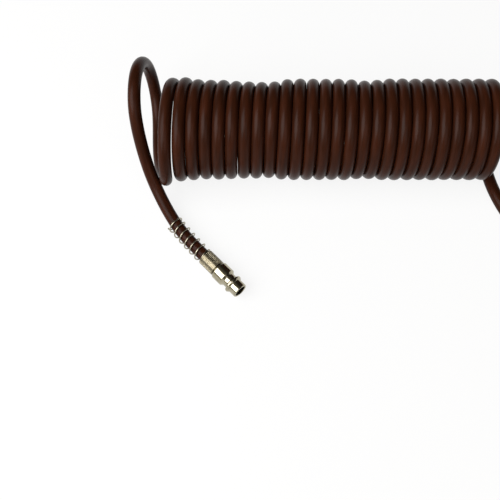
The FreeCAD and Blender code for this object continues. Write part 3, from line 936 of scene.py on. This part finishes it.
    def tube(self, frames: list[Ring], shares: list[float]) -> Piece:
        """The tube's mesh, with its bore open a little way at both ends.

        Args:
            frames: the centre line's frames.
            shares: how far each ring follows the coupler's end.

        Returns:
            The piece, with its ring shares in an attribute.
        """
        outer, inner, deep = self.diameter / 2, self.bore / 2, self.bore_rings
        loops = [(deep, inner), (0, inner)]
        loops += [(index, outer) for index in range(len(frames))]
        loops += [(len(frames) - 1, inner), (len(frames) - 1 - deep, inner)]
        shape = bmesh.new()
        uv = shape.loops.layers.uv.new("UVMap")
        follow = shape.verts.layers.float.new("ring_share")
        rings = []
        for index, radius in loops:
            point, side, up, _ = frames[index]
            ring = []
            for k in range(self.sides):
                angle = 2 * math.pi * k / self.sides
                offset = side * math.cos(angle) + up * math.sin(angle)
                vertex = shape.verts.new(point + offset * radius)
                vertex[follow] = shares[index]
                ring.append(vertex)
            rings.append(ring)
        for number, (ring, follower) in enumerate(zip(rings, rings[1:])):
            near, far = frames[loops[number][0]][3], frames[loops[number + 1][0]][3]
            for k in range(self.sides):
                after = (k + 1) % self.sides
                face = shape.faces.new([ring[k], ring[after], follower[after], follower[k]])
                places = [(near, k), (near, k + 1), (far, k + 1), (far, k)]
                for loop, (along, turn) in zip(face.loops, places):
                    loop[uv].uv = (along, turn / self.sides)
        shape.faces.new(rings[0][::-1])
        shape.faces.new(rings[-1])
        outwards(shape)
        return finished("air_hose_tube", shape, Matrix.Identity(4), 45.0)

    def build(self) -> Piece:
        """Makes the hose, and lets it stretch along the coil ring by ring."""
        line = self.centre_line()
        frames = self.rings(line)
        shares = self.follow(frames)
        piece = self.tube(frames, shares)
        piece.data.materials.append(HOSE.material())
        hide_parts("hose_tail_plug", "hose_coil", "hose_tail_coupler")
        start = (self.station(0.75), *self.centre)
        end = (self.station(self.turns + 0.75), *self.centre)
        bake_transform(piece, "plug_end", "coupler_end", start=start, end=end)
        # The call's own shares rise along X, which would draw the tube's section out with the
        # coil. Shares by ring keep it round.
        own = piece.data.attributes["ring_share"].data
        target = piece.data.attributes["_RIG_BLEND"].data
        values = [0.0] * len(own)
        own.foreach_get("value", values)
        target.foreach_set("value", values)
        LOG.info("hose: %.3f m along its centre line", frames[-1][3])
        self.line = line
        return piece


# ------------------------------------------------------------------ the fittings


@dataclass
class HoseEnd:
    """What both fittings have at the hose: barb, stub, knurled nut and bend spring."""

    name: str
    body: str
    axis: Axis
    wire: NodeModifier
    knurl: NodeModifier
    bow: tuple[float, float]
    drop: tuple[float, float]
    barb: float = 10.0
    stub: float = 17.3
    shoulder: float = 17.9
    nut_rear: float = 5.7
    nut_radius: float = 5.35

    def barb_outline(self) -> list[Corner]:
        """The outside of barb, stub and neck, from station 0 to the shoulder."""
        outline = [(0.0, 2.2, 0.1)]
        for ridge in (2.6, 5.2, 7.8):
            outline += [(ridge, 2.75, 0.05), (ridge + 0.03, 2.35, 0.0)]
        outline += [(self.barb, 2.35, 0.1), (self.barb, 4.5, 0.1)]
        for crest in range(8):
            station = 10.9 + crest * 0.75
            outline += [(station, 4.5, 0.05), (station + 0.3, 4.28, 0.05)]
        outline += [(self.stub, 4.5, 0.05), (self.stub, 4.0, 0.1), (self.shoulder, 4.0, 0.1)]
        return outline

    def nut(self) -> list[Piece]:
        """The nut and the teeth that stand on it."""
        rear, front = self.nut_rear, self.stub
        valley = self.nut_radius - 0.12
        outline = [
            (rear, 5.0, 0.08),
            (rear, 5.1, 0.05),
            (rear + 0.25, self.nut_radius, 0.1),
            (rear + 0.4, self.nut_radius, 0.04),
            (rear + 0.5, valley, 0.0),
            (front - 0.6, valley, 0.0),
            (front - 0.5, self.nut_radius, 0.04),
            (front - 0.3, self.nut_radius, 0.1),
            (front, self.nut_radius - 0.3, 0.08),
            (front, 4.55, 0.0),
            (9.9, 4.55, 0.0), (9.1, 4.05, 0.05), (8.4, 4.05, 0.0), (8.4, 5.0, 0.0),
        ]
        shell = turned(f"{self.name}_nut_shell", self.axis, outline)
        enlist(shell, self.body, KNURL_PAINTED_DARKER, f"{self.name}_nut")
        sizes = {
            "Radius": valley - 0.05,
            "Start": rear + 0.97,
            "Row pitch": 0.87,
            "Rows": 12,
            "Columns": 38,
            "Tooth height": 0.17,
            "Tooth width": 0.57,
            "Top share": 0.66,
        }
        return [shell, teeth(f"{self.name}_nut_teeth", self.axis, self.body, self.knurl, sizes)]

    def spring(self) -> Piece:
        """The bend spring: held turns, a flare, open turns and an end turn."""
        flare, coils, end = 1.5, 27.43, 1.9
        winding = Winding(
            start=7.94,
            wire=0.9,
            stages=[
                (1.5, -1.404, 4.45), (0.25, -1.286, 4.5),
                (0.35, -flare, 5.3),
                (5.4, -coils, 5.3),
                (1.0, -end, 5.3),
            ],
            hangs_from=self.nut_rear,
            hangs_over=flare + coils + end,
            bow=self.bow,
            drop=self.drop,
        )
        piece = winding.wind(f"{self.name}_bend_spring_wire", self.axis, self.wire)
        return enlist(piece, self.body, WIRE, f"{self.name}_bend_spring")


@dataclass
class Plug:
    """The plug: shoulder, waist, locking collar and sealing tip on its hose end."""

    end: HoseEnd

    def nipple(self) -> Piece:
        """The plug's own turned piece."""
        outline = self.end.barb_outline() + [
            (17.9, 5.4, 0.15), (18.6, 6.1, 0.25), (25.6, 6.1, 0.35), (26.75, 5.0, 0.2),
            (27.2, 4.65, 0.25), (29.85, 4.65, 0.3), (30.25, 5.35, 0.2), (30.75, 6.1, 0.3),
            (31.0, 6.2, 0.3), (31.75, 6.2, 0.45), (32.6, 5.5, 0.2), (32.7, 5.0, 0.15),
            (37.75, 5.0, 0.2), (38.1, 4.65, 0.12), (38.1, 4.15, 0.1), (37.85, 3.9, 0.05),
            (22.1, 3.9, 0.2), (20.1, 1.6, 0.1), (0.0, 1.6, 0.0),
        ]
        piece = turned("plug_nipple_turned", self.end.axis, outline, 112)
        return enlist(piece, self.end.body, NICKEL, "plug_nipple")

    def build(self) -> list[Piece]:
        """Makes the plug with its nut and spring, and returns all its pieces."""
        return [self.nipple(), *self.end.nut(), self.end.spring()]


@dataclass
class Coupler:
    """The quick coupler: tailpiece, body, sleeve, balls, seals, valve and springs."""

    end: HoseEnd
    mouth: float = 58.2
    balls: int = 6
    ball_radius: float = 1.75
    ball_circle: float = 7.1
    ball_depth: float = 6.2

    def tailpiece(self) -> Piece:
        """The rear piece with the spanner hexagon."""
        outline = self.end.barb_outline() + [
            (17.9, 8.2, 0.1), (18.85, 9.8, 0.0), (23.5, 9.8, 0.0), (24.2, 8.75, 0.1),
            (24.2, 8.0, 0.0), (30.5, 8.0, 0.1), (31.0, 7.5, 0.1), (31.0, 6.0, 0.1),
            (26.0, 6.0, 0.1), (26.0, 3.2, 0.1), (17.9, 3.2, 0.1), (14.9, 1.6, 0.1),
            (0.0, 1.6, 0.0),
        ]
        flats = 9.8 * math.cos(math.pi / 6)
        piece = turned("coupler_tailpiece_turned", self.end.axis, outline, 96, flats)
        return enlist(piece, self.end.body, NICKEL, "coupler_tailpiece")

    def washer(self) -> Piece:
        """The fibre washer."""
        outline = [(24.2, 8.05, 0.1), (24.2, 9.6, 0.2), (25.2, 9.6, 0.2), (25.2, 8.05, 0.1)]
        piece = turned("body_washer_fibre", self.end.axis, outline)
        return enlist(piece, self.end.body, FIBRE, "body_washer")

    def sleeve(self) -> list[Piece]:
        """The release sleeve and the teeth of its grip."""
        outline = [
            (31.4, 10.55, 0.1), (31.4, 12.0, 0.6), (34.6, 12.0, 0.35), (35.3, 11.5, 0.15),
            (50.5, 11.5, 0.15), (51.2, 12.0, 0.35), (57.7, 12.0, 0.9), (57.7, 10.05, 0.25),
            (56.49, 10.05, 0.0), (50.76, 8.65, 0.0), (47.7, 8.65, 0.1), (47.7, 10.55, 0.1),
        ]
        shell = turned("release_sleeve_shell", self.end.axis, outline, 120)
        enlist(shell, "release_sleeve", NICKEL, "release_sleeve")
        sizes = {
            "Radius": 11.42,
            "Start": 36.1,
            "Row pitch": 1.12,
            "Rows": 13,
            "Columns": 64,
            "Tooth height": 0.54,
            "Tooth width": 0.76,
            "Top share": 0.5,
        }
        end, body = self.end, "release_sleeve"
        return [shell, teeth("release_sleeve_teeth", end.axis, body, end.knurl, sizes)]

    def ball(self, number: int) -> Piece:
        """One locking ball, in its locked place."""
        angle = 2 * math.pi / self.balls * (number - 0.5)
        shape = bmesh.new()
        bmesh.ops.create_icosphere(shape, subdivisions=4, radius=self.ball_radius)
        out = (-self.ball_circle * math.sin(angle), self.ball_circle * math.cos(angle))
        shape.transform(Matrix.Translation((self.mouth - self.ball_depth, *out)))
        piece = finished(f"locking_ball_{number}_steel", shape, self.end.axis.place(), 60.0)
        return enlist(piece, f"ball_{number}", BALL_STEEL, f"locking_ball_{number}")

    def seal(self, name: str, body: str, depth: float, mean: float, cord: float) -> Piece:
        """A round rubber seal.

        Args:
            name: the CAD node's name.
            body: the body that it moves with.
            depth: how deep below the mouth its middle is, in millimetres.
            mean: its mean radius.
            cord: the radius of its section.

        Returns:
            The piece.
        """
        outline = []
        for step in range(SEAL_SIDES):
            angle = 2 * math.pi * step / SEAL_SIDES
            place = (self.mouth - depth + cord * math.cos(angle), mean + cord * math.sin(angle))
            outline.append((*place, 0.0))
        piece = turned(f"{name}_rubber", self.end.axis, outline, 72)
        return enlist(piece, body, RUBBER, name)

    def compression_spring(
        self, name: str, span: tuple[float, float], mean: float, wire: float
    ) -> Piece:
        """A spring between two stations, with closed end turns.

        It rests against its first station.

        Args:
            name: the CAD node's name.
            span: its two ends, as stations.
            mean: its mean radius.
            wire: the wire's thickness.

        Returns:
            The piece.
        """
        turns, closed, play = 5, 0.9, 1.05
        advance = wire * play * closed
        middle = span[1] - span[0] - wire - 2 * advance
        tight = (closed, advance, mean)
        stages = [tight, (turns - 2 * closed, middle, mean), tight]
        winding = Winding(start=span[0] + wire / 2, wire=wire, stages=stages)
        piece = winding.wind(f"{name}_wire", self.end.axis, self.end.wire)
        enlist(piece, self.end.body, WIRE, name)
        anchor = self.end.axis.place() @ Vector((span[0], 0, 0))
        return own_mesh(piece)

    def build(self) -> list[Piece]:
        """Makes the coupler with its nut and spring, and returns all its pieces."""
        body = self.end.body
        pieces = [self.tailpiece(), self.washer(), *self.end.nut(), self.end.spring()]
        pieces += self.sleeve()
        pieces += [self.ball(number) for number in range(1, self.balls + 1)]
        for node, suffix, rides_on, finish in (
            ("coupler_body", "shell", body, NICKEL_PLAIN),
            ("stop_ring", "wire", body, RING_STEEL),
            ("valve_poppet", "brass", "valve", VALVE_BRASS),
        ):
            pieces.append(enlist(copied(f"{node}_{suffix}", node), rides_on, finish, node))
        pieces.append(self.seal("plug_seal", body, 11.85, 5.72, 0.87))
        pieces.append(self.seal("valve_seal", "valve", 17.95, 5.1, 0.71))
        for name, joint, span, mean, wire in (
            ("sleeve_spring", "sleeve_slide", (33.65, 47.65), 9.55, 1.0),
            ("valve_spring", "valve_slide", (26.05, 37.45), 4.7, 0.8),
        ):
            pieces.append(self.compression_spring(name, span, mean, wire))
        return pieces


# ------------------------------------------------------------------ the studio


@dataclass
class Studio:
    """A pale table, soft lamps and the camera."""

    camera_place: Point = (-0.1085, -0.2326, 0.445)
    elevation: float = 67.0
    lens: float = 54.0
    shift: float = -0.05
    table_half: float = 25.0
    table_glow: float = 0.85
    wall_top: float = 0.1
    wall_fade: float = 0.06

    def camera(self) -> None:
        """Looks down at the coil's front edge and the plug."""
        data = bpy.data.cameras.new("camera")
        data.lens = self.lens
        data.shift_x = self.shift
        data.clip_start = 0.01
        data.clip_end = 100.0
        holder = bpy.data.objects.new("camera", data)
        holder.location = self.camera_place
        holder.rotation_euler = (math.radians(90 - self.elevation), 0.0, 0.0)
        bpy.context.scene.collection.objects.link(holder)
        bpy.context.scene.camera = holder

    def lamp(self, name: str, place: Point, target: Point, size: float, power: float) -> None:
        """A soft square lamp.

        Args:
            name: the lamp's name.
            place: where it stands.
            target: what it faces.
            size: its width.
            power: its power in watts.
        """
        data = bpy.data.lights.new(name, "AREA")
        data.size = size
        data.energy = power
        holder = bpy.data.objects.new(name, data)
        holder.location = place
        heading = Vector(target) - Vector(place)
        holder.rotation_euler = heading.to_track_quat("-Z", "Y").to_euler()
        bpy.context.scene.collection.objects.link(holder)

    def table(self) -> None:
        """A wide pale table top, which shows white to the camera and in reflections."""
        mesh = bpy.data.meshes.new("table_top")
        half = self.table_half
        corners = [(-half, -half, 0), (half, -half, 0), (half, half, 0), (-half, half, 0)]
        mesh.from_pydata(corners, [], [(0, 1, 2, 3)])
        table = new_object("table_top", mesh)
        nodes = Shading("table_white")
        nodes.feed(nodes.shader, {"Base Color": (0.84, 0.84, 0.84, 1.0), "Roughness": 0.9})
        nodes.feed(nodes.shader, {"Specular IOR Level": 0.0})
        glow = nodes.add("ShaderNodeEmission", {"Color": (1.0, 1.0, 1.0, 1.0), "Strength": 1.0})
        path = nodes.add("ShaderNodeLightPath")
        seen = nodes.math("MAXIMUM", path.outputs["Is Camera Ray"], path.outputs["Is Glossy Ray"])
        seen = nodes.math("MAXIMUM", seen, path.outputs["Is Transmission Ray"])
        share = nodes.math("MULTIPLY", seen, self.table_glow)
        mixed = nodes.add(
            "ShaderNodeMixShader", {0: share, 1: nodes.shader.outputs[0], 2: glow.outputs[0]}
        )
        nodes.feed(nodes.tree.nodes["Material Output"], {"Surface": mixed.outputs[0]})
        mesh.materials.append(nodes.material)

    def world(self) -> None:
        """A dim room, lighter at the left and in front, with a pale wall up to eye level."""
        world = bpy.data.worlds.new("studio")
        world.use_nodes = True
        nodes = Nodes(world.node_tree)
        heading = nodes.add("ShaderNodeTexCoord").outputs["Generated"]
        lean, height = (
            nodes.add(
                "ShaderNodeVectorMath", {0: heading, 1: towards}, operation="DOT_PRODUCT"
            ).outputs["Value"]
            for towards in (Vector((-0.75, -0.6, 0.25)).normalized(), (0.0, 0.0, 1.0))
        )
        span = nodes.add("ShaderNodeMapRange", {"Value": lean, "From Min": -0.9})
        dark, light = (0.03, 0.026, 0.02, 1.0), (0.34, 0.32, 0.28, 1.0)
        room = nodes.ramp(span.outputs[0], dark, light, (0.3, 1.0))
        white, black = (1.0, 1.0, 1.0, 1.0), (0.0, 0.0, 0.0, 1.0)
        wall = nodes.ramp(height, white, black, (self.wall_top, self.wall_top + self.wall_fade))
        values = {"Factor": wall, 6: room, 7: (0.93, 0.93, 0.92, 1.0)}
        both = nodes.add("ShaderNodeMix", values, data_type="RGBA")
        nodes.feed(nodes.tree.nodes["Background"], {"Color": both.outputs[2], "Strength": 1.0})
        bpy.context.scene.world = world

    def build(self) -> None:
        """Sets up camera, table, lamps and surround."""
        self.camera()
        self.table()
        self.world()
        middle = (-0.12, -0.03, 0.02)
        self.lamp("key", (-0.88, -0.3, 0.91), middle, 1.1, 21.0)
        self.lamp("fill", (0.35, -1.1, 1.2), middle, 1.2, 6.0)
        bpy.context.scene.view_settings.view_transform = "Standard"


def main() -> None:
    """Builds everything in order."""
    logging.basicConfig(level=logging.INFO, format="%(name)s: %(message)s")
    Studio().build()
    hose = Hose()
    tube = hose.build()
    trees = wire_tree(), knurl_tree()
    turn = math.radians(PLUG_HEADING)
    direction = Vector((math.cos(turn), math.sin(turn), 0))
    plug_axis = Axis(tuple(Vector(PLUG_TIP) - direction * PLUG_LENGTH), PLUG_HEADING)
    plug = Plug(HoseEnd("plug", "plug_end", plug_axis, *trees, (0.1, -0.28), (1.58, -0.18)))
    coupler_hang = (0.0, -0.1), (-0.1, -2.0)
    coupler = Coupler(
        HoseEnd("coupler", "coupler_end", Axis(COUPLER_START), *trees, *coupler_hang)
    )
    on_it = plug.build() + coupler.build()


if __name__ == "__main__":
    main()
